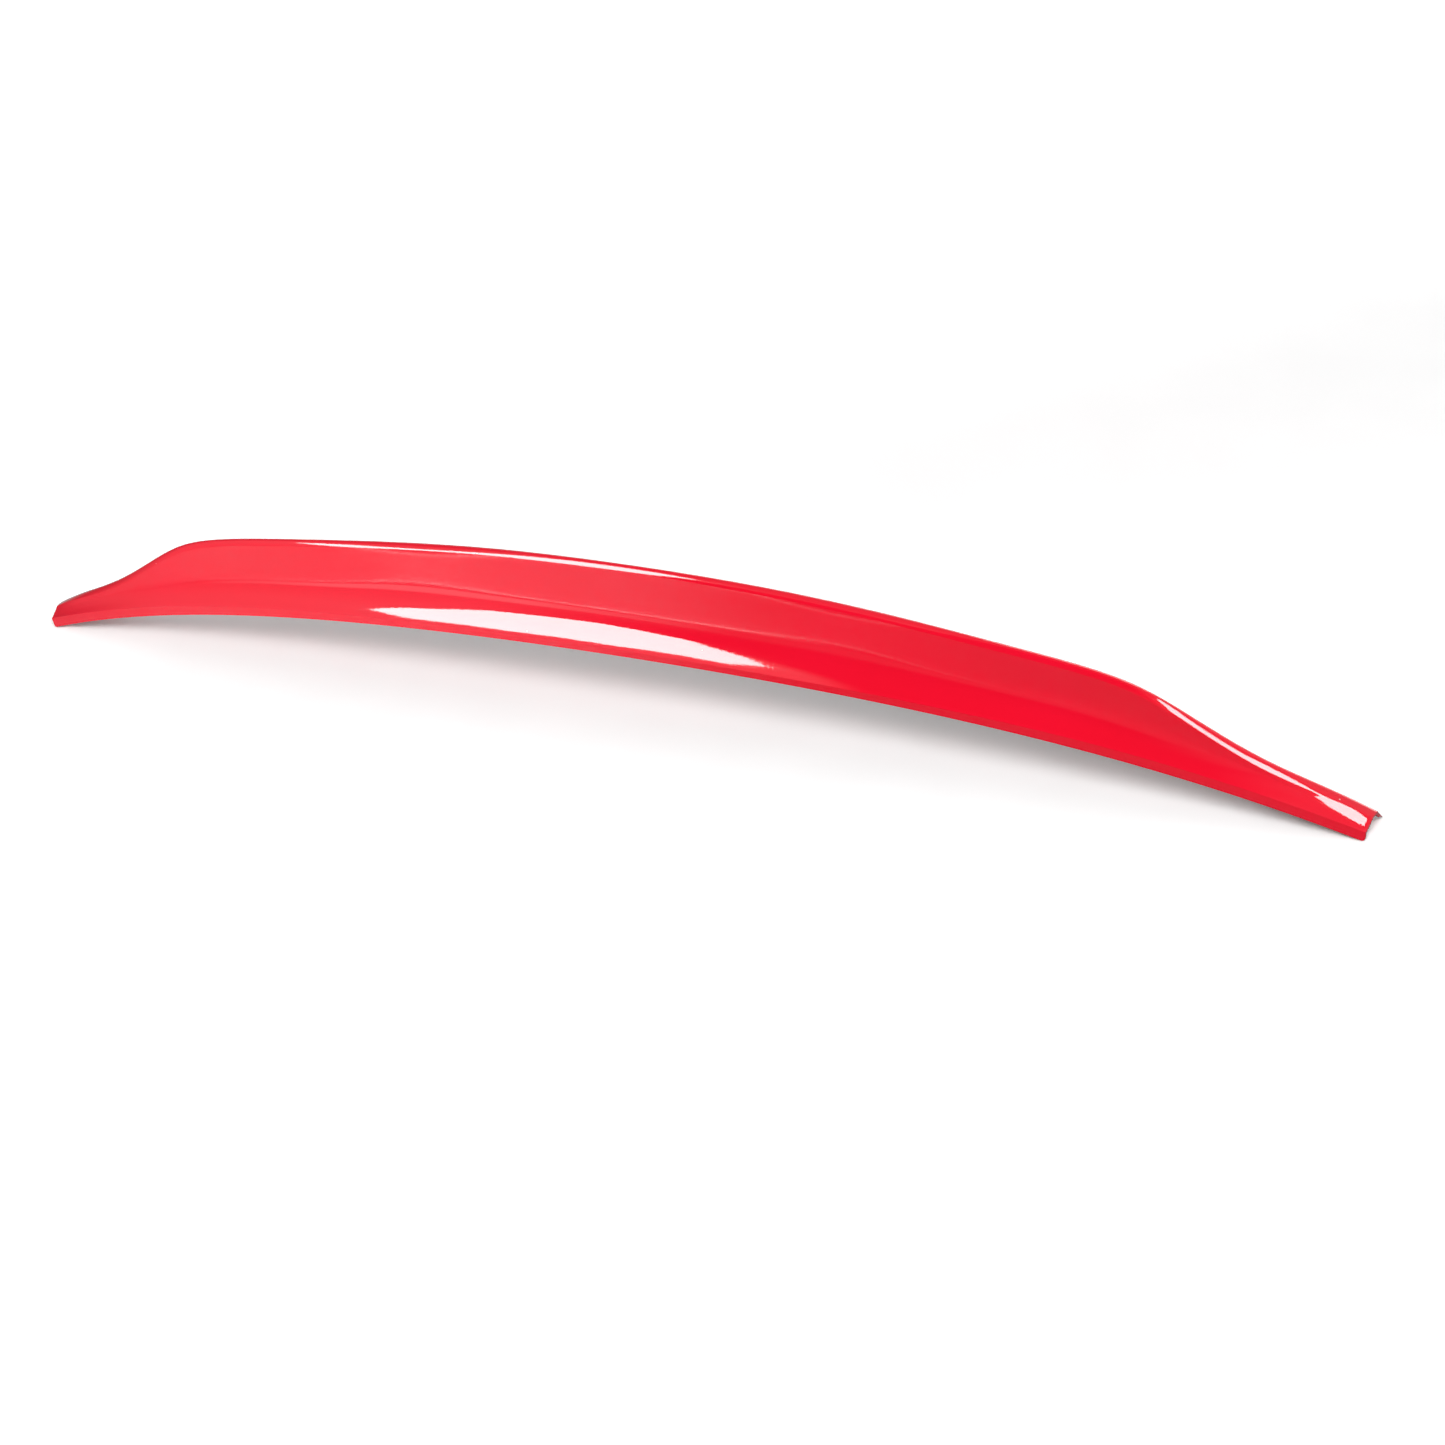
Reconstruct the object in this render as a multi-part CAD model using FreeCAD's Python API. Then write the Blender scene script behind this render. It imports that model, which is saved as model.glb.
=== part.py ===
"""Duckbill boot-lid spoiler: a one-piece thin-wall shell with its bonding tapes.

The shell stands on its two tips.  X runs along the spoiler, -Y faces the
viewer behind the car, +Z is up.  Every size is in millimetres.
"""

import FreeCAD
import Part
import math
import os

Vector = FreeCAD.Vector

# Whole shell
LENGTH = 1250.0         # tip to tip along the lower rear edge
SWEEP = 26.5            # the middle of that edge stands this far behind the tips
CROWN = 79.0            # and this far above them
SWEEP_FULLNESS = 0.55   # 0 is a parabola, 1 is flat in the middle and quick at the tips
CROWN_FULLNESS = 0.43
WALL = 3.0              # moulded wall
TIP_FLARE = 3.5         # the top of an open tip stands out past its lower corner
FLARE_POWER = 6         # the flare grows with this power of the way out to the tip
TIP_CORNER = 3.0        # radius on the tip's lower corner
HOLLOW = 3.3            # the strip starts off the hem flatter than its slope by this angle
STRIP_HELD = 0.40       # share of the strip over which it keeps that start
STRIP_EASED = 0.75      # share at which it begins to turn up into the kicked face
KICK_EASED = 0.15       # share of the kicked face that this turn takes up
RIDGE_TURN = 0.02       # the ridge starts off the face in a turn as tight as this share of its rounding
RIDGE_FULLNESS = 0.54   # and runs out into the ramp over this one
RIDGE_FLAT_COUNT = 6    # narrow flats that make the ridge round outside; inside it has one

# Foot that lies on the lid in front
LID_SLOPE = 35.0        # the lid's top falls forward at this angle while the shell stands
FOOT_LAND = 9.0         # width of the bonding land under the foot
TOE_HEIGHT = 16.0       # the foot thickens over this height

# Section at each station, for one half; the other half is its mirror image.
# at: share of the half length.  hem: height of the turned-under hem.
# strip, slope: length and angle of the lower strip, up to the fold.
# lean, rise: where the ridge's corner stands from the lower rear edge.
# round: length of the ridge rounding.  reach, drop: where the foot's edge is.
STATIONS = [
    dict(at=0.00, hem=6.0, strip=23.9, slope=42.6, lean=24.3, rise=77.0, round=11.8, reach=92.0, drop=34.0),
    dict(at=0.20, hem=6.2, strip=21.4, slope=43.4, lean=25.8, rise=75.5, round=12.6, reach=90.5, drop=33.0),
    dict(at=0.40, hem=7.0, strip=20.6, slope=46.8, lean=23.7, rise=72.0, round=12.4, reach=86.0, drop=29.0),
    dict(at=0.55, hem=8.0, strip=22.8, slope=48.8, lean=15.8, rise=73.3, round=13.7, reach=79.5, drop=23.5),
    dict(at=0.65, hem=8.7, strip=23.2, slope=52.1, lean=12.9, rise=73.5, round=14.3, reach=72.5, drop=18.5),
    dict(at=0.73, hem=9.0, strip=21.1, slope=55.0, lean=11.2, rise=67.9, round=13.9, reach=64.5, drop=13.5),
    dict(at=0.80, hem=9.0, strip=16.3, slope=52.6, lean=10.6, rise=51.4, round=12.6, reach=55.0, drop=8.5),
    dict(at=0.87, hem=9.0, strip=12.4, slope=44.7, lean=11.6, rise=35.5, round=10.4, reach=46.0, drop=4.0),
    dict(at=0.94, hem=9.0, strip=9.0, slope=35.3, lean=14.7, rise=26.6, round=8.4, reach=39.5, drop=1.3),
    dict(at=1.00, hem=9.0, strip=7.0, slope=26.5, lean=17.5, rise=19.3, round=7.2, reach=36.0, drop=0.0),
]
SECTION_STEP = 25.0     # distance between the sections that a loft passes through
END_STEP = 5.0          # and from a loft's end to the next, which holds the end true

# Bonding tape and its release liner
TAPE_THICK = 1.1
LINER_THICK = 0.25
GLUE_LINE = 0.2         # clearance kept between one layer and the next
REAR_TAPE_WIDTH = 6.5
FRONT_TAPE_WIDTH = 6.5
TAPE_INSET = 1.5        # from the hem's inner corner, and from the foot's edge
TAPE_BUTT_GAP = 3.0     # between one length of tape and the next
TAPE_END = 0.95         # tapes stop at this share of the half length
TAPE_CUT = 0.38         # and are cut at this one
LINER_OVERHANG = 0.4    # the liner is wider than the tape by this on each side
LINER_TAB = 14.0        # pull tab past the outer end of the tape
LAYER_FLAT_COUNT = 3    # narrow flats in which a layer follows the curved strip

HALF = LENGTH / 2


def smooth(name):
    """One column of STATIONS as a smooth even function of x."""
    half = [(row["at"] * HALF, row[name]) for row in STATIONS]
    both = [(-x, value) for x, value in reversed(half[1:])] + half
    curve = Part.BSplineCurve()
    curve.interpolate(
        Points=[Vector(x, value, 0) for x, value in both],
        Parameters=[x for x, value in both],
    )
    return lambda x: curve.value(x).y


column = {name: smooth(name) for name in STATIONS[0] if name != "at"}


def bow(x, fullness):
    """1 in the middle, 0 at the tips."""
    t = abs(x) / HALF
    return 1 - (1 - fullness) * t**2 - fullness * t**4


def swept(x):
    """How far the lower rear edge stands behind the tips."""
    return SWEEP * bow(x, SWEEP_FULLNESS)


# The part is centred front to back between its rearmost and foremost edges.
FOREMOST = max(row["reach"] - swept(row["at"] * HALF) for row in STATIONS)
TIP_Y = (SWEEP - FOREMOST) / 2


def lower_edge(x):
    """The lower rear edge, from which each section is measured."""
    return Vector(x, TIP_Y - swept(x), CROWN * bow(x, CROWN_FULLNESS))


def direction(start, end):
    return (end - start).normalize()


def inward(along):
    """Normal of a wall that runs up the rear and down the front, into the hollow."""
    return Vector(0, along.z, -along.y)


def angled(degrees):
    return Vector(0, math.cos(math.radians(degrees)), math.sin(math.radians(degrees)))


def turned(vector, degrees):
    """A vector of the section turned towards the steeper side."""
    c, s = math.cos(math.radians(degrees)), math.sin(math.radians(degrees))
    return Vector(0, vector.y * c - vector.z * s, vector.y * s + vector.z * c)


def corners(x):
    """Outer corners of the section: hem foot, hem top, fold, ridge, front foot."""
    foot = lower_edge(x)
    top = foot + Vector(0, 0, column["hem"](x))
    fold = top + angled(column["slope"](x)) * column["strip"](x)
    ridge = foot + Vector(0, column["lean"](x), column["rise"](x))
    front = foot + Vector(0, column["reach"](x), -column["drop"](x))
    return foot, top, fold, ridge, front


def inner_corners(x):
    """The same corners one wall further in."""
    outer = corners(x)
    normals = [inward(direction(a, b)) for a, b in zip(outer, outer[1:])]
    inner = [outer[0] + normals[0] * WALL]
    for corner, n1, n2 in zip(outer[1:-1], normals, normals[1:]):
        inner.append(corner + (n1 + n2) * (WALL / (1 + n1.dot(n2))))
    inner.append(outer[-1] + normals[-1] * WALL)
    return inner


def wall_curves(top, fold, ridge, end, rounding, flats):
    """Hem top to foot: hollow rear face, ridge in narrow flats, straight ramp."""
    up, kick, down = direction(top, fold), direction(fold, ridge), direction(ridge, end)
    strip, kicked = (fold - top).Length, (ridge - fold).Length
    before, after = ridge - kick * rounding, ridge + down * rounding
    face = Part.BSplineCurve()
    face.buildFromPoles(
        [
            top,
            top + turned(up, -HOLLOW) * strip * STRIP_HELD,
            top + up * strip * STRIP_EASED,
            fold + kick * kicked * KICK_EASED,
            (fold + before) / 2,
            before,
        ],
        False,
        3,
    )
    crest = Part.BezierCurve()
    crest.setPoles(
        [
            before,
            before + kick * rounding * RIDGE_TURN,
            after - down * rounding * RIDGE_FULLNESS,
            after,
        ]
    )
    stops = [crest.value(i / flats) for i in range(flats + 1)] + [end]
    return [face] + [Part.LineSegment(a, b) for a, b in zip(stops, stops[1:])]


def outer_curves(x):
    foot, top, fold, ridge, front = corners(x)
    return wall_curves(top, fold, ridge, front, column["round"](x), RIDGE_FLAT_COUNT)


def inner_curves(x):
    """The inner faces, which end at the top of the thickened toe."""
    ridge, front = corners(x)[3:]
    foot, top, fold, inner_ridge, inner_front = inner_corners(x)
    lost = (inner_ridge - ridge).Length * direction(ridge, front).dot(direction(ridge, inner_ridge))
    ramp = (inner_front - inner_ridge).Length
    toe = inner_front + direction(inner_front, inner_ridge) * min(TOE_HEIGHT, ramp / 2)
    return wall_curves(top, fold, inner_ridge, toe, column["round"](x) - lost, 1)


def land(x):
    """Edge of the foot, and the inner edge of its bonding land."""
    front = corners(x)[4]
    return front, front + angled(180 - LID_SLOPE) * FOOT_LAND


def stood_out(section, x):
    """A section leans outward near the tips, so that the open end is flared."""
    lean = math.degrees(math.atan2(TIP_FLARE, column["rise"](HALF)))
    section.rotate(lower_edge(x), Vector(0, 1, 0), math.copysign(lean * (abs(x) / HALF) ** FLARE_POWER, x))
    return section


def skin_section(x):
    foot, top = corners(x)[:2]
    inner_foot, inner_top = inner_corners(x)[:2]
    outer, inner = outer_curves(x), inner_curves(x)
    front, land_end = land(x)
    edges = [
        Part.makeLine(foot, top),
        *[curve.toShape() for curve in outer],
        Part.makeLine(front, land_end),
        Part.makeLine(land_end, inner[-1].EndPoint),
        *[curve.toShape() for curve in reversed(inner)],
        Part.makeLine(inner_top, inner_foot),
        Part.makeLine(inner_foot, foot),
    ]
    return stood_out(Part.Wire(edges), x)


def layer_section(x, line, start, width, near, far, flats):
    """A layer laid along a wall line: where it starts, how wide it is, and its two faces."""
    reached = [start + width * i / flats for i in range(flats + 1)]
    laid = [line.parameterAtDistance(length, line.FirstParameter) for length in reached]
    points = [line.value(t) for t in laid]
    offs = [inward(line.tangent(t)[0]) for t in laid]
    near_face = [point + off * near for point, off in zip(points, offs)]
    far_face = [point + off * far for point, off in zip(points, offs)]
    return stood_out(Part.makePolygon(near_face + far_face[::-1], True), x)


def along(section, start, end):
    """Loft a section function from one x to another, by way of places that all layers share."""
    first = math.ceil((start + 2 * END_STEP) / SECTION_STEP)
    last = math.floor((end - 2 * END_STEP) / SECTION_STEP)
    shared = [i * SECTION_STEP for i in range(first, last + 1)]
    places = [start, start + END_STEP, *shared, end - END_STEP, end]
    return Part.makeLoft([section(x) for x in places], True, False)


def foot_line(x):
    """The bonding land, from its inner edge out to the foot's edge."""
    front, land_end = land(x)
    return Part.LineSegment(land_end, front)


def rear_layer(x, near, thick, overhang):
    start = TAPE_INSET - overhang
    width = REAR_TAPE_WIDTH + 2 * overhang
    return layer_section(x, inner_curves(x)[0], start, width, near, near + thick, LAYER_FLAT_COUNT)


def front_layer(x, near, thick, overhang):
    start = FOOT_LAND - TAPE_INSET - FRONT_TAPE_WIDTH - overhang
    return layer_section(x, foot_line(x), start, FRONT_TAPE_WIDTH + 2 * overhang, near, near + thick, 1)


def spoiler_skin():
    shell = along(skin_section, -HALF, HALF)
    tips = [edge for edge in shell.Edges if is_tip_corner(edge)]
    return shell.makeFillet(TIP_CORNER, tips)


def is_tip_corner(edge):
    """Edge across the wall at the bottom of the hem, at either open tip."""
    box = edge.BoundBox
    return edge.Length < WALL * 1.5 and box.ZMax < WALL and abs(box.Center.y - lower_edge(HALF).y) < WALL


parts = {"spoiler_skin": spoiler_skin()}

cut = TAPE_CUT * HALF
end = TAPE_END * HALF
for edge_name, layer in (("rear", rear_layer), ("front", front_layer)):
    for place, start, stop, tab in (
        ("left", -end, -cut - TAPE_BUTT_GAP / 2, LINER_TAB),
        ("centre", -cut + TAPE_BUTT_GAP / 2, cut - TAPE_BUTT_GAP / 2, 0),
    ):
        tape = along(lambda x: layer(x, GLUE_LINE, TAPE_THICK, 0), start, stop)
        liner_face = 2 * GLUE_LINE + TAPE_THICK
        liner = along(lambda x: layer(x, liner_face, LINER_THICK, LINER_OVERHANG), start - tab, stop)
        parts[f"{edge_name}_tape_{place}"] = tape
        parts[f"{edge_name}_liner_{place}"] = liner
        if place == "left":
            parts[f"{edge_name}_tape_right"] = tape.mirror(Vector(), Vector(1, 0, 0))
            parts[f"{edge_name}_liner_right"] = liner.mirror(Vector(), Vector(1, 0, 0))

os.makedirs("parts", exist_ok=True)
for name, shape in parts.items():
    shape.exportStep(f"parts/{name}.step")
    box = shape.BoundBox
    print(f"{name:22s} {shape.Volume / 1000:8.1f} cm3  z {box.ZMin:.1f} to {box.ZMax:.1f}")
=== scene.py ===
import functools
import math

import bmesh
import bpy
import numpy as np
from mathutils import Matrix, Vector


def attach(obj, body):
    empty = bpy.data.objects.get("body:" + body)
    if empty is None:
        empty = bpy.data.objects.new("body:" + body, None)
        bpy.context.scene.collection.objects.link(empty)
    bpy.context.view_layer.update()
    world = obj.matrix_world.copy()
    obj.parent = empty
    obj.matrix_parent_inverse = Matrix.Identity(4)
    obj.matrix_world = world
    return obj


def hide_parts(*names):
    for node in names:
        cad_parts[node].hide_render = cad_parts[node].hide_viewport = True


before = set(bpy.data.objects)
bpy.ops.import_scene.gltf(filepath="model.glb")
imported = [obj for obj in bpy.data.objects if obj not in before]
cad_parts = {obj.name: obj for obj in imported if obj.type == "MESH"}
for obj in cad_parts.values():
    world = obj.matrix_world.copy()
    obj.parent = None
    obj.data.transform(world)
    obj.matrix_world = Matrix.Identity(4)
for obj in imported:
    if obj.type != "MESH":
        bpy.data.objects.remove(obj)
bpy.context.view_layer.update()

# ---------------------------------------------------------------------------
# Spoiler skin. One thin ABS moulding, open underneath and at both tips: a
# turned-under hem, a lower strip, a kicked-up rear face, a round ridge and a
# ramp down to the foot that lies on the boot lid. It is sprayed gloss red.
# ---------------------------------------------------------------------------
MM = 0.001
HALF = 625.0            # tip to middle along the lower rear edge, in mm as all that follows
SWEEP = 26.5            # the middle of that edge stands this far behind the tips
CROWN = 79.0            # and this far above them
SWEEP_FULLNESS = 0.55
CROWN_FULLNESS = 0.43
WALL = 3.0
TIP_FLARE = 3.5
FLARE_POWER = 6
TIP_CORNER = 3.0
LID_SLOPE = 35.0
FOOT_LAND = 9.0
TOE_HEIGHT = 16.0
HOLLOW = 3.3            # the strip leaves the hem flatter than its slope by this angle
STRIP_HELD = 0.40
STRIP_EASED = 0.75
KICK_EASED = 0.15
RIDGE_TURN = 0.02
RIDGE_FULLNESS = 0.54
EDGE_ROUND = 0.7        # the moulding's free edges are broken by this radius

# Section at each station of one half, as in the moulding's own drawing: share of
# the half length, then mm, but slope in degrees
STATION_COLUMNS = ("at", "hem", "strip", "slope", "lean", "rise", "round", "reach", "drop")
STATIONS = [
    (0.00,  6.0, 23.9, 42.6, 24.3, 77.0, 11.8, 92.0, 34.0),
    (0.20,  6.2, 21.4, 43.4, 25.8, 75.5, 12.6, 90.5, 33.0),
    (0.40,  7.0, 20.6, 46.8, 23.7, 72.0, 12.4, 86.0, 29.0),
    (0.55,  8.0, 22.8, 48.8, 15.8, 73.3, 13.7, 79.5, 23.5),
    (0.65,  8.7, 23.2, 52.1, 12.9, 73.5, 14.3, 72.5, 18.5),
    (0.73,  9.0, 21.1, 55.0, 11.2, 67.9, 13.9, 64.5, 13.5),
    (0.80,  9.0, 16.3, 52.6, 10.6, 51.4, 12.6, 55.0,  8.5),
    (0.87,  9.0, 12.4, 44.7, 11.6, 35.5, 10.4, 46.0,  4.0),
    (0.94,  9.0,  9.0, 35.3, 14.7, 26.6,  8.4, 39.5,  1.3),
    (1.00,  9.0,  7.0, 26.5, 17.5, 19.3,  7.2, 36.0,  0.0),
]
STATIONS = [dict(zip(STATION_COLUMNS, row)) for row in STATIONS]
HALF_SECTIONS = 130     # sections from the middle to where a tip's corner starts
CORNER_STEPS = 6        # sections round a tip's lower corner
RIM_STEPS = 4           # and round the rim of its open end
ARC_POINTS = 5          # points round an edge
HEM_POINTS = 3
FACE_POINTS = 34
CREST_POINTS = 24
RAMP_POINTS = 14
TOE_POINTS = 4          # of the ramp's points, on the thickened toe inside


def station_curve(name):
    """A column of STATIONS as a smooth even curve of x, with no kink at a station."""
    half_x = np.array([row["at"] * HALF for row in STATIONS])
    half_y = np.array([row[name] for row in STATIONS], float)
    xs = np.concatenate([-half_x[:0:-1], half_x])
    ys = np.concatenate([half_y[:0:-1], half_y])
    step = np.diff(xs)
    chord = np.diff(ys) / step
    count = len(xs)
    system, known = np.eye(count), np.zeros(count)
    known[0] = np.polyfit(xs[:4] - xs[0], ys[:4], 3)[2]
    known[-1] = -known[0]
    for i in range(1, count - 1):
        system[i, i - 1 : i + 2] = step[i], 2 * (step[i - 1] + step[i]), step[i - 1]
        known[i] = 3 * (step[i] * chord[i - 1] + step[i - 1] * chord[i])
    slopes = np.linalg.solve(system, known)

    def read(x):
        i = min(max(int(np.searchsorted(xs, x)) - 1, 0), count - 2)
        t = (x - xs[i]) / step[i]
        start = (1 + 2 * t) * (1 - t) ** 2 * ys[i] + t * (1 - t) ** 2 * step[i] * slopes[i]
        end = t * t * (3 - 2 * t) * ys[i + 1] - t * t * (1 - t) * step[i] * slopes[i + 1]
        return start + end

    return read


column = {name: station_curve(name) for name in STATIONS[0] if name != "at"}


def bow(x, fullness):
    """1 in the middle, 0 at the tips."""
    t = abs(x) / HALF
    return 1 - (1 - fullness) * t**2 - fullness * t**4


def swept(x):
    return SWEEP * bow(x, SWEEP_FULLNESS)


foremost = max(row["reach"] - swept(row["at"] * HALF) for row in STATIONS)
TIP_Y = (SWEEP - foremost) / 2


def unit(vector):
    return vector / np.linalg.norm(vector)


def inward(along):
    """From a wall that runs up the rear and down the front, into the hollow."""
    return np.array([along[1], -along[0]])


def angled(degrees):
    return np.array([math.cos(math.radians(degrees)), math.sin(math.radians(degrees))])


def turned(vector, degrees):
    c, s = angled(degrees)
    return np.array([vector[0] * c - vector[1] * s, vector[0] * s + vector[1] * c])


def lower_edge(x):
    return np.array([TIP_Y - swept(x), CROWN * bow(x, CROWN_FULLNESS)])


def outer_corners(x):
    foot = lower_edge(x)
    top = foot + [0, column["hem"](x)]
    fold = top + angled(column["slope"](x)) * column["strip"](x)
    ridge = foot + [column["lean"](x), column["rise"](x)]
    front = foot + [column["reach"](x), -column["drop"](x)]
    return [foot, top, fold, ridge, front]


def inner_corners(outer):
    """The same corners one wall further in."""
    normals = [inward(unit(b - a)) for a, b in zip(outer, outer[1:])]
    inner = [outer[0] + normals[0] * WALL]
    for corner, n1, n2 in zip(outer[1:-1], normals, normals[1:]):
        inner.append(corner + (n1 + n2) * (WALL / (1 + n1 @ n2)))
    return inner + [outer[-1] + normals[-1] * WALL]


def rounded(before, corner, after, radius):
    """Points round a corner, from the line that comes in to the one that goes out."""
    into, out = unit(corner - before), unit(after - corner)
    turn = math.acos(np.clip(into @ out, -1, 1))
    reach = radius * math.tan(turn / 2)
    a, b = corner - into * reach, corner + out * reach
    ts = np.linspace(0, 1, ARC_POINTS)[:, None]
    return (1 - ts) ** 2 * a + 2 * ts * (1 - ts) * corner + ts**2 * b


def between(a, b, count):
    """Points on a straight run, without its two ends."""
    return a + (b - a) * np.linspace(0, 1, count + 2)[1:-1, None]


def spline_weights(ts, poles, degree=3):
    """How much each pole of an even, clamped spline counts at each t."""
    inner_knots = np.linspace(0, 1, poles - degree + 1)[1:-1]
    knots = np.concatenate([[0] * (degree + 1), inner_knots, [1] * (degree + 1)])
    ts = np.minimum(ts, 1 - 1e-9)
    weights = [(ts >= a) & (ts < b) for a, b in zip(knots, knots[1:])]
    weights = [w.astype(float) for w in weights]
    for k in range(1, degree + 1):
        raised = []
        for i in range(len(weights) - 1):
            rise, fall = knots[i + k] - knots[i], knots[i + k + 1] - knots[i + 1]
            left = (ts - knots[i]) / rise * weights[i] if rise else 0
            right = (knots[i + k + 1] - ts) / fall * weights[i + 1] if fall else 0
            raised.append(left + right)
        weights = raised
    return np.stack(weights, 1)


def wall_line(corners, end, rounding):
    """Crease, hollow rear face and ridge of one side of the wall, up to where the ramp starts."""
    top, fold, ridge = corners[1:4]
    up, kick, down = unit(fold - top), unit(ridge - fold), unit(end - ridge)
    strip, kicked = np.linalg.norm(fold - top), np.linalg.norm(ridge - fold)
    before, after = ridge - kick * rounding, ridge + down * rounding
    poles = np.array(
        [
            top,
            top + turned(up, -HOLLOW) * strip * STRIP_HELD,
            top + up * strip * STRIP_EASED,
            fold + kick * kicked * KICK_EASED,
            (fold + before) / 2,
            before,
        ]
    )
    face = spline_weights(np.linspace(0, 1, FACE_POINTS + 1), len(poles)) @ poles
    handles = [before, before + kick * rounding * RIDGE_TURN]
    handles += [after - down * rounding * RIDGE_FULLNESS, after]
    crest = spline_weights(np.linspace(0, 1, CREST_POINTS + 1)[1:] ** 1.5, 4) @ np.array(handles)
    return np.concatenate([face, crest])


def skin_ring(x):
    """The closed section at x: up the outside, over the ridge, under the foot and back inside."""
    outer = outer_corners(x)
    inner = inner_corners(outer)
    into_corner = max(0, abs(x) - (HALF - TIP_CORNER))
    lifted = TIP_CORNER - math.sqrt(max(TIP_CORNER**2 - into_corner**2, 0))
    foot, inner_foot = outer[0] + [0, lifted], inner[0] + [0, lifted]
    front = outer[4]
    land_end = front + angled(180 - LID_SLOPE) * FOOT_LAND
    inner_ridge, inner_front = inner[3], inner[4]
    lost = (inner_ridge - outer[3]) @ unit(front - outer[3])
    ramp = np.linalg.norm(inner_front - inner_ridge)
    toe = inner_front + unit(inner_ridge - inner_front) * min(TOE_HEIGHT, ramp / 2)
    under, land = (foot + inner_foot) / 2, (front + land_end) / 2

    outside = wall_line([foot] + outer[1:], front, column["round"](x))
    foot_arc = rounded(under, foot, outer[1], EDGE_ROUND)
    front_arc = rounded(outside[-1], front, land_end, EDGE_ROUND)
    outside = [
        [under],
        foot_arc,
        between(foot_arc[-1], outside[0], HEM_POINTS),
        outside,
        between(outside[-1], front_arc[0], RAMP_POINTS),
        front_arc,
        [land],
    ]
    inside = wall_line([inner_foot] + inner[1:], toe, column["round"](x) - lost)
    foot_arc = rounded(under, inner_foot, inner[1], EDGE_ROUND)
    land_arc = rounded(toe, land_end, land, EDGE_ROUND)
    inside = [
        foot_arc,
        between(foot_arc[-1], inside[0], HEM_POINTS),
        inside,
        between(inside[-1], toe, RAMP_POINTS - TOE_POINTS - 1),
        [toe],
        between(toe, land_arc[0], TOE_POINTS),
        land_arc,
    ]
    outside, inside = np.concatenate(outside), np.concatenate(inside)
    return np.concatenate([outside, inside[::-1]]), len(outside)


def skin_places():
    """Each section's x, and how far it is drawn in where it rounds the rim of an open tip."""
    main = np.linspace(0, HALF - TIP_CORNER, HALF_SECTIONS, endpoint=False)
    rim_start = HALF - EDGE_ROUND
    last = math.asin(1 - EDGE_ROUND / TIP_CORNER)
    corner = HALF - TIP_CORNER + TIP_CORNER * np.sin(np.linspace(0, last, CORNER_STEPS))
    turns = np.linspace(0, math.pi / 2, RIM_STEPS)[1:]
    half = [(x, 0.0) for x in (*main, *corner)]
    half += [(rim_start + EDGE_ROUND * math.sin(t), EDGE_ROUND * (1 - math.cos(t))) for t in turns]
    return [(-x, inset) for x, inset in half[:0:-1]] + half


def placed(ring, x, inset):
    """A section drawn in by inset and leaned out with the tip's flare, as points in metres."""
    along = np.roll(ring, -1, 0) - np.roll(ring, 1, 0)
    along /= np.linalg.norm(along, axis=1)[:, None]
    ring = ring + np.stack([along[:, 1], -along[:, 0]], 1) * inset
    base = lower_edge(x)[1]
    lean = math.atan2(TIP_FLARE, column["rise"](HALF)) * (abs(x) / HALF) ** FLARE_POWER
    height = ring[:, 1] - base
    across = x + math.copysign(math.sin(lean), x) * height
    return np.stack([across, ring[:, 0], base + height * math.cos(lean)], 1) * MM


places = skin_places()
rings = [placed(skin_ring(x)[0], x, inset) for x, inset in places]
ring_size = len(rings[0])
outside_size = skin_ring(0)[1]

verts = np.concatenate(rings)
faces = []
for k in range(len(rings) - 1):
    a, b = k * ring_size, (k + 1) * ring_size
    for j in range(ring_size):
        n = (j + 1) % ring_size
        faces.append((a + j, a + n, b + n, b + j))
for base in (0, (len(rings) - 1) * ring_size):
    last = ring_size - 1
    faces.append((base, base + 1, base + last))
    for j in range(1, outside_size - 2):
        faces.append((base + j, base + j + 1, base + last - j, base + last - j + 1))
    faces.append((base + outside_size - 2, base + outside_size - 1, base + outside_size))

mesh = bpy.data.meshes.new("spoiler_skin")
mesh.from_pydata(verts.tolist(), [], faces)
solid = bmesh.new()
solid.from_mesh(mesh)
bmesh.ops.recalc_face_normals(solid, faces=solid.faces)
solid.to_mesh(mesh)
solid.free()
mesh.shade_smooth()

# The crease over the hem is crisp, outside and in
crease = 1 + ARC_POINTS + HEM_POINTS
inner_crease = ring_size - 1 - ARC_POINTS - HEM_POINTS
ends = np.zeros(len(mesh.edges) * 2, int)
mesh.edges.foreach_get("vertices", ends)
ends = ends.reshape(-1, 2) % ring_size
crisp = np.any([(ends == place).all(1) for place in (crease, inner_crease)], 0)
mesh.attributes.new("sharp_edge", "BOOLEAN", "EDGE").data.foreach_set("value", crisp)

# How far inside the hollow each point lies, from the nearest free edge, as the
# spray reaches only so far
run = np.linalg.norm(np.diff(rings[len(rings) // 2], axis=0), axis=1) / MM
inside_run = np.concatenate([[0], np.cumsum(run[outside_size:])])
depth = np.zeros(ring_size)
depth[outside_size:] = np.minimum(inside_run, inside_run[-1] - inside_run)
from_tip = np.array([HALF - abs(x) for x, inset in places])
shelter = mesh.attributes.new("shelter", "FLOAT", "POINT")
shelter.data.foreach_set("value", np.minimum(depth, from_tip[:, None]).astype(np.float32).ravel())


def linked(tree, kind, *into, **settings):
    """A node with its settings, and its numbered inputs either linked or set, in order."""
    made = tree.nodes.new(kind)
    for name, value in settings.items():
        setattr(made, name, value)
    for place, value in enumerate(into):
        if isinstance(value, bpy.types.NodeSocket):
            tree.links.new(value, made.inputs[place])
        elif value is not None:
            made.inputs[place].default_value = value
    return made


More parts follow.
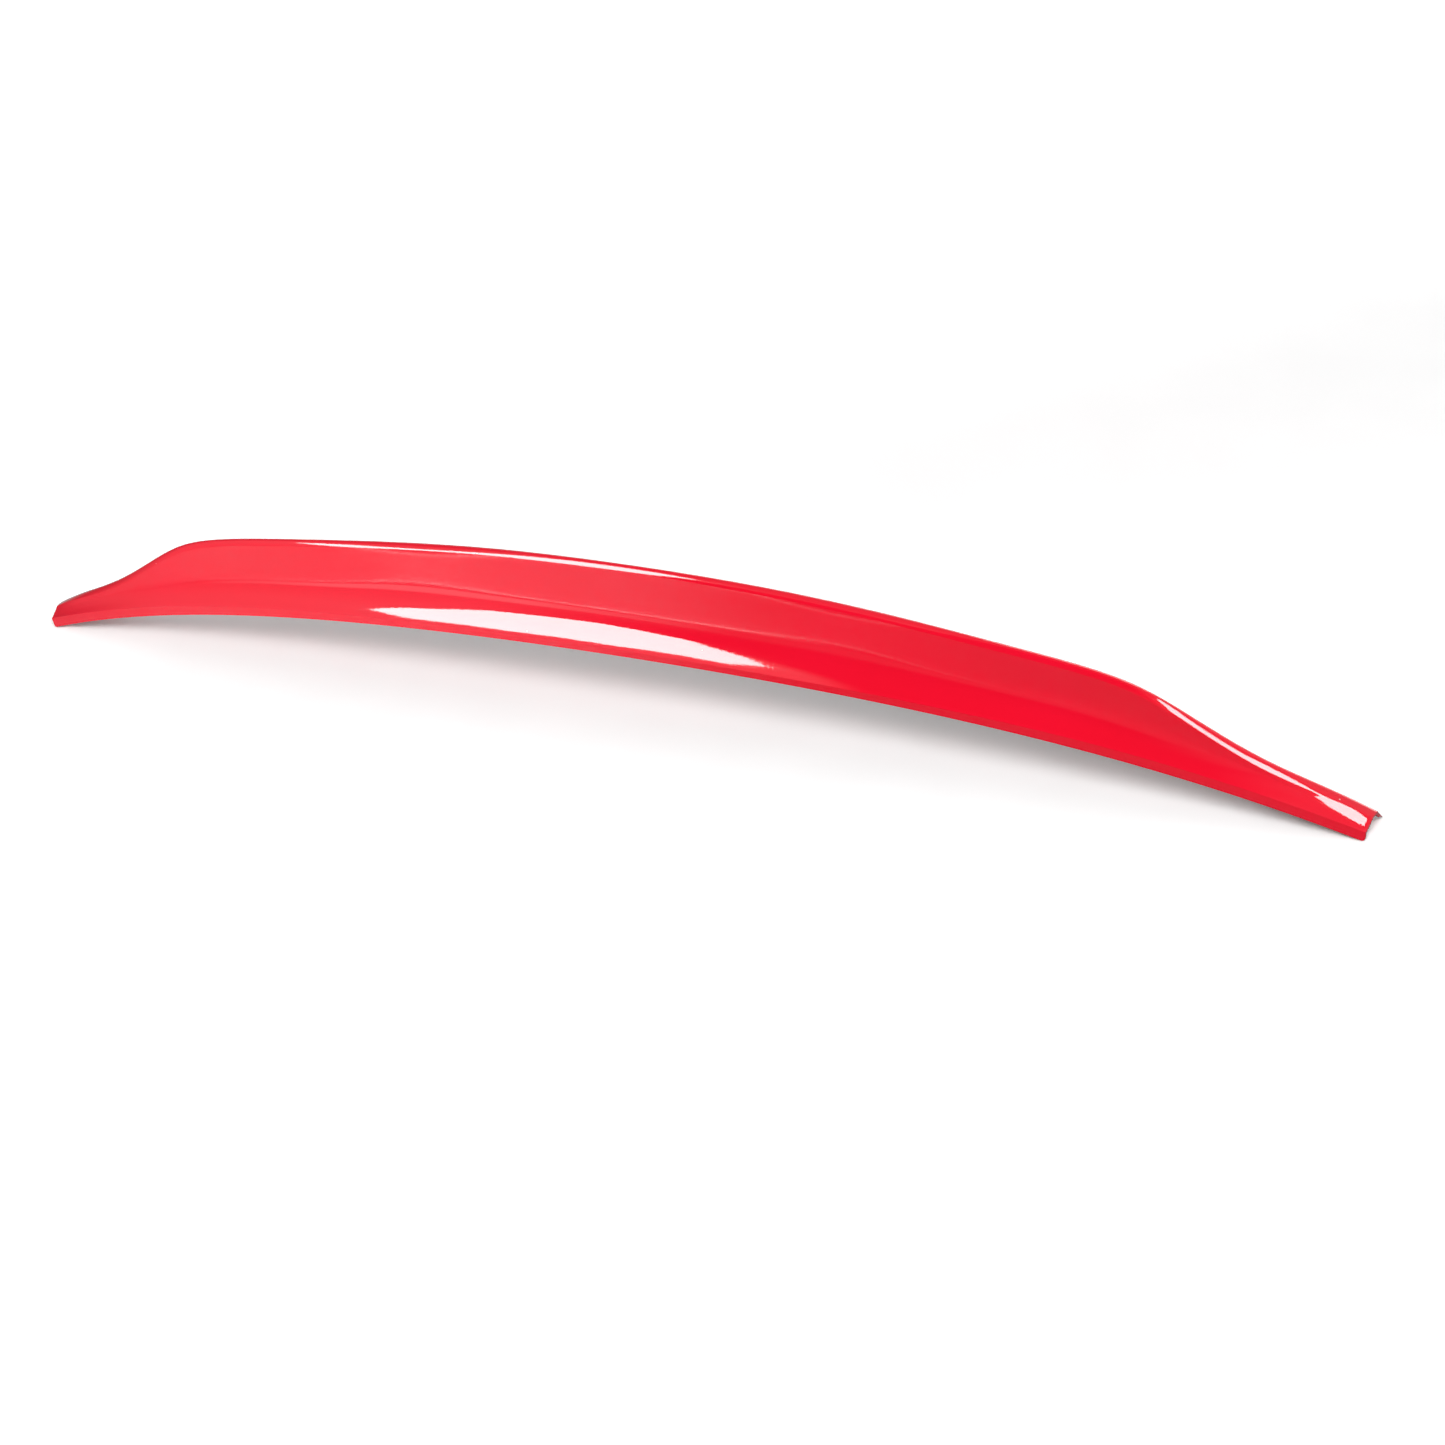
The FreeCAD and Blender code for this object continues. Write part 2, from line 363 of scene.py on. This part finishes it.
def measured(tree, value, low, high, to_low=0.0, to_high=1.0):
    """A value eased from one range to another, and held at its ends."""
    ranges = (value, low, high, to_low, to_high)
    made = linked(tree, "ShaderNodeMapRange", *ranges, interpolation_type="SMOOTHSTEP")
    return made.outputs["Result"]


def blended(tree, share, a, b):
    """Two colours mixed by a share that changes over the surface."""
    made = tree.nodes.new("ShaderNodeMix")
    made.data_type = "RGBA"
    for socket, value in zip((made.inputs[0], made.inputs[6], made.inputs[7]), (share, a, b)):
        if isinstance(value, bpy.types.NodeSocket):
            tree.links.new(value, socket)
        else:
            socket.default_value = value
    return made.outputs[2]


def mixed(tree, share, a, b):
    """Two numbers mixed by a share."""
    return linked(tree, "ShaderNodeMix", share, None, a, b, data_type="FLOAT").outputs[0]


def maths(tree, a, b, operation="ADD"):
    return linked(tree, "ShaderNodeMath", a, b, operation=operation).outputs[0]


def times(tree, *values):
    return functools.reduce(lambda a, b: maths(tree, a, b, "MULTIPLY"), values)


def surface_place(tree):
    """Where a point of the surface is, in metres."""
    return tree.nodes.new("ShaderNodeTexCoord").outputs["Object"]


def finish_material(name):
    """A material with an empty tree, and its Principled shader joined to the output."""
    made = bpy.data.materials.new(name)
    made.use_nodes = True
    tree = made.node_tree
    tree.nodes.clear()
    shader = tree.nodes.new("ShaderNodeBsdfPrincipled")
    output = tree.nodes.new("ShaderNodeOutputMaterial")
    tree.links.new(shader.outputs["BSDF"], output.inputs["Surface"])
    return made, tree, shader


def bumped(tree, shader, height, strength, relief):
    """Give a shader fine relief from a height; its depth is in metres."""
    bump = linked(tree, "ShaderNodeBump")
    bump.inputs["Strength"].default_value = strength
    bump.inputs["Distance"].default_value = relief
    tree.links.new(height, bump.inputs["Height"])
    tree.links.new(bump.outputs["Normal"], shader.inputs["Normal"])


def shared_effect(name, inputs, outputs):
    """A node group with named number inputs and outputs."""
    group = bpy.data.node_groups.new(name, "ShaderNodeTree")
    for socket, value in inputs.items():
        made = group.interface.new_socket(socket, in_out="INPUT", socket_type="NodeSocketFloat")
        made.default_value = value
    for socket in outputs:
        group.interface.new_socket(socket, in_out="OUTPUT", socket_type="NodeSocketFloat")
    return group, group.nodes.new("NodeGroupInput"), group.nodes.new("NodeGroupOutput")


def placed_effect(tree, group, **values):
    made = tree.nodes.new("ShaderNodeGroup")
    made.node_tree = group
    for name, value in values.items():
        made.inputs[name].default_value = value
    return made


# Uneven grain, such as a moulded or rolled surface has: cells per metre, and
# how finely each is broken up
PATCH_SCALE = 0.03      # patches are this much coarser than the cells
PATCH_EDGE = (0.35, 0.65)

effect_inputs = {"Cells": 400.0, "Detail": 2.0}
grain, grain_in, grain_out = shared_effect("uneven_grain", effect_inputs, ["Height", "Patches"])
grain_place = surface_place(grain)
grain_fine = linked(grain, "ShaderNodeTexNoise")
grain_wide = linked(grain, "ShaderNodeTexNoise")
grain.links.new(grain_place, grain_fine.inputs["Vector"])
grain.links.new(grain_place, grain_wide.inputs["Vector"])
grain.links.new(grain_in.outputs["Cells"], grain_fine.inputs["Scale"])
grain.links.new(grain_in.outputs["Detail"], grain_fine.inputs["Detail"])
grain.links.new(times(grain, grain_in.outputs["Cells"], PATCH_SCALE), grain_wide.inputs["Scale"])
grain.links.new(grain_fine.outputs["Fac"], grain_out.inputs["Height"])
grain_patches = measured(grain, grain_wide.outputs["Fac"], *PATCH_EDGE)
grain.links.new(grain_patches, grain_out.inputs["Patches"])

# Specks of dust, which settle on what faces up: specks per metre, and the
# share of a cell that one fills
DUSTY_SLOPE = (0.1, 0.6)        # how far up a face looks where dust starts to lie, and lies freely
DUSTY_SHARE = 0.35              # of the cells

dust, dust_in, dust_out = shared_effect("settled_dust", {"Specks": 60.0, "Size": 0.05}, ["Mask"])
dust_cells = linked(dust, "ShaderNodeTexVoronoi")
dust.links.new(surface_place(dust), dust_cells.inputs["Vector"])
dust.links.new(dust_in.outputs["Specks"], dust_cells.inputs["Scale"])
dust_speck = maths(dust, dust_cells.outputs["Distance"], dust_in.outputs["Size"], "LESS_THAN")
dust_normal = dust.nodes.new("ShaderNodeNewGeometry").outputs["Normal"]
dust_up = linked(dust, "ShaderNodeSeparateXYZ", dust_normal).outputs["Z"]
dust_facing = measured(dust, dust_up, *DUSTY_SLOPE)
dust_chance = linked(dust, "ShaderNodeSeparateColor", dust_cells.outputs["Color"]).outputs[0]
dust_some = maths(dust, dust_chance, DUSTY_SHARE, "LESS_THAN")
dust.links.new(times(dust, dust_speck, dust_facing, dust_some), dust_out.inputs["Mask"])

RED = (0.90, 0.003, 0.026, 1)
DEEP_RED = (0.885, 0.003, 0.023, 1)
GLOSS_EVEN, GLOSS_UNEVEN = 0.035, 0.045         # roughness of the paint
PAINT_IOR, CLEARCOAT_IOR, CLEARCOAT_ROUGHNESS = 1.50, 1.30, 0.02
PEEL_CELLS = 230.0                              # per metre, of the paint's orange peel
BARE_PLASTIC = (0.040, 0.040, 0.043, 1)
BARE_ROUGHNESS = 0.55
MOULDED_CELLS = 1800.0                          # per metre, of the plastic's own grain
SPRAY_FULL, SPRAY_GONE = 9.0, 26.0              # mm inside the hollow where overspray thins and ends
SPRAY_WANDER = 14.0                             # mm that its edge wanders by
DRIFT_CELLS, MIST_CELLS = 45.0, 2600.0          # per metre, of that edge and of its droplets
THIN_RUN, THIN_ROUGHER = 6.0, 0.25              # over these mm from the edge it gets rougher by this
DUST_COLOUR = (0.75, 0.70, 0.68, 1)
PAINT_DUST = 0.55                               # how far a speck hides the paint
PAINT_RELIEF = 0.00004                          # m

paint, tree, shader = finish_material("gloss_red_paint")
place = surface_place(tree)
sheltered = linked(tree, "ShaderNodeAttribute", attribute_name="shelter").outputs["Fac"]
peel = placed_effect(tree, grain, Cells=PEEL_CELLS, Detail=1.0)
moulding = placed_effect(tree, grain, Cells=MOULDED_CELLS, Detail=3.0)
specks = placed_effect(tree, dust, Specks=55.0, Size=0.035).outputs["Mask"]
drift = linked(tree, "ShaderNodeTexNoise", place, None, DRIFT_CELLS, 4.0).outputs["Fac"]
mist = linked(tree, "ShaderNodeTexNoise", place, None, MIST_CELLS, 1.0).outputs["Fac"]
wander = times(tree, maths(tree, maths(tree, drift, mist), -1.0), SPRAY_WANDER)
outside = measured(tree, sheltered, 1.0, 0.0)
sprayed = measured(tree, maths(tree, sheltered, wander), SPRAY_GONE, SPRAY_FULL)
sprayed = maths(tree, sprayed, outside, "MAXIMUM")
dusted = times(tree, specks, PAINT_DUST)
red = blended(tree, peel.outputs["Patches"], RED, DEEP_RED)
colour = blended(tree, sprayed, BARE_PLASTIC, red)
tree.links.new(blended(tree, dusted, colour, DUST_COLOUR), shader.inputs["Base Color"])
gloss = measured(tree, peel.outputs["Patches"], 0.0, 1.0, GLOSS_EVEN, GLOSS_UNEVEN)
thinned = measured(tree, sheltered, 0.0, THIN_RUN, 0.0, THIN_ROUGHER)
roughness = mixed(tree, sprayed, BARE_ROUGHNESS, maths(tree, gloss, thinned))
tree.links.new(maths(tree, roughness, dusted), shader.inputs["Roughness"])
tree.links.new(times(tree, sprayed, outside), shader.inputs["Coat Weight"])
shader.inputs["Coat Roughness"].default_value = CLEARCOAT_ROUGHNESS
shader.inputs["Coat IOR"].default_value = CLEARCOAT_IOR
shader.inputs["IOR"].default_value = PAINT_IOR
height = mixed(tree, sprayed, moulding.outputs["Height"], peel.outputs["Height"])
bumped(tree, shader, height, 0.35, PAINT_RELIEF)
mesh.materials.append(paint)

skin = bpy.data.objects.new("painted_skin", mesh)
bpy.context.scene.collection.objects.link(skin)

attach(skin, "root")
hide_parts("spoiler_skin")

# ---------------------------------------------------------------------------
# Bonding tapes. Strips of closed-cell acrylic foam, charcoal grey, stuck inside
# the hem behind and under the foot in front; each edge has three lengths.
# ---------------------------------------------------------------------------
FOAM = (0.055, 0.055, 0.060, 1)
FOAM_LIGHT = (0.085, 0.085, 0.092, 1)
FOAM_CELLS = 1600.0                     # per metre
FOAM_ROUGHNESS = (0.72, 0.90)
FOAM_SPECULAR = 0.35
FOAM_RELIEF = 0.00015                   # m

foam, tree, shader = finish_material("foam_tape")
foam_skin = placed_effect(tree, grain, Cells=900.0, Detail=4.0)
cells = linked(tree, "ShaderNodeTexVoronoi", surface_place(tree))
cells.inputs["Scale"].default_value = FOAM_CELLS
foam_colour = blended(tree, foam_skin.outputs["Patches"], FOAM, FOAM_LIGHT)
tree.links.new(foam_colour, shader.inputs["Base Color"])
roughness = measured(tree, foam_skin.outputs["Height"], 0.3, 0.7, *FOAM_ROUGHNESS)
tree.links.new(roughness, shader.inputs["Roughness"])
shader.inputs["Specular IOR Level"].default_value = FOAM_SPECULAR
height = maths(tree, cells.outputs["Distance"], foam_skin.outputs["Height"])
bumped(tree, shader, height, 0.6, FOAM_RELIEF)

for name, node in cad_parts.items():
    if "_tape_" in name:
        for slot in node.material_slots:
            slot.material = foam

# ---------------------------------------------------------------------------
# Release liners. Thin red film left on each tape, a little wider than it, with
# a pull tab past the outer end; slack film shows faint creases across it.
# ---------------------------------------------------------------------------
FILM = (0.50, 0.016, 0.018, 1)
FILM_DEEP = (0.40, 0.012, 0.014, 1)
FILM_ROUGHNESS = (0.22, 0.36)
FILM_DUST = 0.4                         # how far a speck hides the film
CREASES = 70.0                          # per metre along the film
CREASE_STRETCH = (1.0, 0.12, 0.12)      # they run across it
CREASE_RELIEF = 0.0004                  # m

film, tree, shader = finish_material("release_film")
rolled = placed_effect(tree, grain, Cells=350.0, Detail=3.0)
specks = placed_effect(tree, dust, Specks=90.0, Size=0.05).outputs["Mask"]
stretched = linked(tree, "ShaderNodeMapping", surface_place(tree))
stretched.inputs["Scale"].default_value = CREASE_STRETCH
creases = linked(tree, "ShaderNodeTexNoise", stretched.outputs["Vector"], None, CREASES, 2.0)
film_colour = blended(tree, rolled.outputs["Patches"], FILM, FILM_DEEP)
film_colour = blended(tree, times(tree, specks, FILM_DUST), film_colour, DUST_COLOUR)
tree.links.new(film_colour, shader.inputs["Base Color"])
roughness = measured(tree, rolled.outputs["Height"], 0.3, 0.7, *FILM_ROUGHNESS)
tree.links.new(roughness, shader.inputs["Roughness"])
bumped(tree, shader, creases.outputs["Fac"], 0.5, CREASE_RELIEF)

for name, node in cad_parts.items():
    if "_liner_" in name:
        for slot in node.material_slots:
            slot.material = film

# ---------------------------------------------------------------------------
# Floor. Pale studio paper with painted shade in its own colour: darker past a slant
# # on the right and towards the back, as the paint mirrors it and as it bounces light;
# # the camera sees it white all but for the shadow.
# ---------------------------------------------------------------------------
FLOOR_HALF = 9.0                        # m
# painted shade: the paper's colour goes from pale to this dark grey where the light would end
FLOOR_PALE, FLOOR_PAINTED_SHADE = 0.85, 0.26
FLOOR_ROUGHNESS = (0.85, 0.95)
LIT_SLANT, LIT_EDGE = -0.50, (-0.08, 0.18, 1.0, 0.0)    # the painted light ends on the right along a slant
FAR_SLANT, FAR_EDGE = -1.15, (0.45, 0.7, 1.0, 0.45)     # and the painted light fades at the back
SHOWN = 1.20                            # what the camera sees of it
SHOWN_PATCHES = 0.985                   # and of its greyer patches
SHOWN_FAR_OFF = (0.25, 60.0, 1.0, 12.0)     # more by the square of the distance, as lamps fall off
SHOWN_AT_BACK = (0.35, 1.5, 1.0, 1.4)       # and more behind the spoiler
SHOWN_TURN = (0.20, -0.28, 0.94)        # turned a little to the fill, for the shadow's depth


def staged_sheet(name, corners, material):
    made = bpy.data.meshes.new(name)
    made.from_pydata([tuple(corner) for corner in corners], [], [range(len(corners))])
    made.materials.append(material)
    sheet = bpy.data.objects.new(name, made)
    bpy.context.scene.collection.objects.link(sheet)
    return sheet


def grey(tree, level):
    return linked(tree, "ShaderNodeCombineColor", level, level, level).outputs[0]


floor_paint, tree, shader = finish_material("pale_floor")
output = next(node for node in tree.nodes if node.type == "OUTPUT_MATERIAL")
place = linked(tree, "ShaderNodeSeparateXYZ", surface_place(tree)).outputs
paper = placed_effect(tree, grain, Cells=500.0, Detail=3.0)
# Painted shade: the floor's own colour darkens past the slant and towards the back, in place of light
# that ends there
from_light = maths(tree, place["X"], times(tree, place["Y"], LIT_SLANT))
past_light = maths(tree, place["Y"], times(tree, place["X"], FAR_SLANT))
lit = times(tree, measured(tree, from_light, *LIT_EDGE), measured(tree, past_light, *FAR_EDGE))
shade = linked(tree, "ShaderNodeMapRange", lit, 0.0, 1.0, FLOOR_PAINTED_SHADE, FLOOR_PALE)
tree.links.new(grey(tree, shade.outputs["Result"]), shader.inputs["Base Color"])
roughness = measured(tree, paper.outputs["Height"], 0.3, 0.7, *FLOOR_ROUGHNESS)
tree.links.new(roughness, shader.inputs["Roughness"])
shader.inputs["Specular IOR Level"].default_value = 0.0

shown = measured(tree, paper.outputs["Patches"], 0.0, 1.0, SHOWN, SHOWN * SHOWN_PATCHES)
far_off = maths(tree, *[times(tree, place[axis], place[axis]) for axis in "XY"])
far_gain = measured(tree, far_off, *SHOWN_FAR_OFF)
back_gain = measured(tree, past_light, *SHOWN_AT_BACK)
matt = linked(tree, "ShaderNodeBsdfDiffuse", grey(tree, times(tree, shown, far_gain, back_gain)))
turn = linked(tree, "ShaderNodeCombineXYZ", *SHOWN_TURN).outputs["Vector"]
tree.links.new(turn, matt.inputs["Normal"])
seen = tree.nodes.new("ShaderNodeLightPath").outputs["Is Camera Ray"]
both = linked(tree, "ShaderNodeMixShader", seen, shader.outputs["BSDF"], matt.outputs["BSDF"])
tree.links.new(both.outputs["Shader"], output.inputs["Surface"])
floor_corners = [(x * FLOOR_HALF, y * FLOOR_HALF, 0) for x, y in ((-1, -1), (1, -1), (1, 1), (-1, 1))]
staged_sheet("floor", floor_corners, floor_paint)

# ---------------------------------------------------------------------------
# Lamps. A key softbox ahead on the left, a long one overhead on the right and
# one behind, which the paint mirrors; fills by the camera, low on the left and
# low behind. Bearings are degrees from straight ahead, + to the right.
# ---------------------------------------------------------------------------
KEY = [(-57.8, 36.8), (-46, 30.3), (-39.5, 23.5), (-36, 24), (-35.2, 31), (-40, 44.5)]
KEY += [(-44.5, 51), (-50.5, 53.3), (-57.5, 50.5), (-60.6, 47.5), (-60.2, 41)]
FILL = [(14, 31), (56, 31), (56, 42), (14, 42)]
LOW_FILL = [(-34, -3), (-4, -3), (-4, 10), (-34, 10)]
BACK = [(160, 40), (205, 40), (205, 62), (160, 62)]
LOW_BACK = [(150, -2), (210, -2), (210, 12), (150, 12)]
OVERHEAD_Z = 4.0
OVERHEAD = [(1.84, -0.7), (2.10, -0.9), (2.45, -1.6), (2.64, -2.6), (2.80, -3.0)]
OVERHEAD += [(2.90, -5.5), (2.92, -9), (1.98, -9), (1.98, -4.6), (1.86, -3.2)]


def softbox(name, radiance, corners, mirrored=True, lights=True):
    """A glowing sheet, unseen by the camera, that gloss mirrors or that lights what is matt."""
    glow = bpy.data.materials.new(name)
    glow.use_nodes = True
    tree = glow.node_tree
    tree.nodes.clear()
    lamp = linked(tree, "ShaderNodeEmission", (1, 1, 1, 1), radiance)
    output = linked(tree, "ShaderNodeOutputMaterial")
    tree.links.new(lamp.outputs["Emission"], output.inputs["Surface"])
    sheet = staged_sheet(name, corners, glow)
    sheet.visible_camera = False
    sheet.visible_glossy = mirrored
    sheet.visible_diffuse = lights
    sheet.visible_shadow = False


def seen_from(point, distance, bearings):
    """Corners that are seen from a point at these bearings and heights, in degrees."""
    found = []
    for bearing, height in bearings:
        b, h = math.radians(bearing), math.radians(height)
        way = Vector((math.sin(b) * math.cos(h), -math.cos(b) * math.cos(h), math.sin(h)))
        found.append(Vector(point) + way * distance)
    return found


softbox("key_softbox", 14.0, seen_from((-0.05, -0.035, 0.09), 8.0, KEY), lights=False)
softbox("overhead_softbox", 13.5, [(x, y, OVERHEAD_Z) for x, y in OVERHEAD], lights=False)
softbox("front_fill", 19.5, seen_from((0.15, 0.0, 0.10), 5.0, FILL), mirrored=False)
softbox("back_softbox", 5.0, seen_from((0.0, 0.0, 0.10), 4.0, BACK), lights=False)
softbox("low_back_fill", 3.5, seen_from((0.0, 0.0, 0.10), 2.2, LOW_BACK))
softbox("low_fill", 8.0, seen_from((-0.35, 0.0, 0.15), 1.8, LOW_FILL), mirrored=False)

# ---------------------------------------------------------------------------
# Room. Pale on the left and at the back and dim towards the front right; each
# row reads a bearing or a height from one value to another, and says how bright
# it is at both. The brightest part counts, over a dim rest; the camera sees white.
# ---------------------------------------------------------------------------
WALL_BRIGHTENS = (-105, -53, 0.05, 0.50)        # bearing
WALL_ENDS = (-33.5, -27.5, 1.0, 0.0)            # bearing, at the floor
WALL_LEAN = 15.0                                # which moves by this as the view rises to the zenith
WALL_RISES = (-0.05, 0.75, 0.75, 1.35)          # height
WALL_TOP = (0.77, 0.87, 1.0, 0.40)              # height
PANEL_STARTS = (-50, -40, 0.0, 1.3)             # bearing, of a low bright panel at the wall's end
PANEL_ENDS = (-34, -29.5, 1.0, 0.0)             # bearing
PANEL_TOP = (0.13, 0.075)                       # height
AHEAD = (-14, 2, 0.0, 0.26)                     # bearing
AHEAD_TOP = (0.5, 0.12)                         # height
RIGHT_SIDE = (-0.02, 0.30, 0.0, 0.26)           # way to the right over way up
LEAST_RISE = 0.05                               # and up by no less than this
BACK_SLANT, BACK_SIDE = 0.6, (-0.10, 0.30, 0.0, 0.48)
HORIZON = (0.16, 0.08, 0.0, 0.17)               # height
CEILING = (0.82, 0.92, 0.0, 0.25)               # height
DIM_REST = 0.05

room = bpy.data.worlds.new("room")
bpy.context.scene.world = room
room.use_nodes = True
tree = room.node_tree
tree.nodes.clear()
generated = tree.nodes.new("ShaderNodeTexCoord").outputs["Generated"]
way = linked(tree, "ShaderNodeSeparateXYZ", generated).outputs
radians = maths(tree, way["X"], times(tree, way["Y"], -1.0), "ARCTAN2")
bearing = times(tree, radians, math.degrees(1))
leaning = maths(tree, bearing, times(tree, way["Z"], WALL_LEAN))
wide = maths(tree, way["X"], maths(tree, way["Z"], LEAST_RISE, "MAXIMUM"), "DIVIDE")
round_back = maths(tree, way["Y"], times(tree, way["X"], BACK_SLANT))
left_wall = [measured(tree, bearing, *WALL_BRIGHTENS), measured(tree, leaning, *WALL_ENDS)]
left_wall += [measured(tree, way["Z"], *reach) for reach in (WALL_RISES, WALL_TOP)]
panel = [measured(tree, bearing, *reach) for reach in (PANEL_STARTS, PANEL_ENDS)]
panel += [measured(tree, way["Z"], *PANEL_TOP)]
parts = [
    times(tree, *left_wall),
    times(tree, *panel),
    times(tree, measured(tree, bearing, *AHEAD), measured(tree, way["Z"], *AHEAD_TOP)),
    measured(tree, wide, *RIGHT_SIDE),
    measured(tree, round_back, *BACK_SIDE),
    measured(tree, way["Z"], *HORIZON),
    measured(tree, way["Z"], *CEILING),
]
brightest = functools.reduce(lambda a, b: maths(tree, a, b, "MAXIMUM"), parts)
seen = tree.nodes.new("ShaderNodeLightPath").outputs["Is Camera Ray"]
strength = mixed(tree, seen, maths(tree, brightest, DIM_REST), 1.0)
air = linked(tree, "ShaderNodeBackground", (1, 1, 1, 1), strength)
linked(tree, "ShaderNodeOutputWorld", air.outputs["Background"])

# ---------------------------------------------------------------------------
# Camera. A long lens at the right, a little over the spoiler, rolled so that it
# hangs down to the right as in the picture.
# ---------------------------------------------------------------------------
AZIMUTH, ELEVATION, ROLL = 35.6223, 29.0996, -10.0      # degrees
DISTANCE = 3620.63
ASIDE, ABOVE = 56.898, 2.467            # how far the view's centre is from the spoiler's
LENS, SENSOR = 111.39, 36.0

camera_data = bpy.data.cameras.new("camera")
camera = bpy.data.objects.new("camera", camera_data)
bpy.context.scene.collection.objects.link(camera)
bpy.context.scene.camera = camera

a, e, r = (math.radians(v) for v in (AZIMUTH, ELEVATION, ROLL))
forward = Vector((-math.sin(a) * math.cos(e), math.cos(a) * math.cos(e), -math.sin(e)))
level = Vector((math.cos(a), math.sin(a), 0))
upright = level.cross(forward)
across = level * math.cos(r) + upright * math.sin(r)
up = upright * math.cos(r) - level * math.sin(r)
place = (across * ASIDE + up * ABOVE - forward * DISTANCE + Vector((0, TIP_Y, 0))) * MM
camera.matrix_world = Matrix.Translation(place) @ Matrix((across, up, -forward)).transposed().to_4x4()
camera_data.sensor_width = SENSOR
camera_data.lens = LENS
camera_data.clip_end = 50

bpy.context.scene.view_settings.view_transform = "Standard"
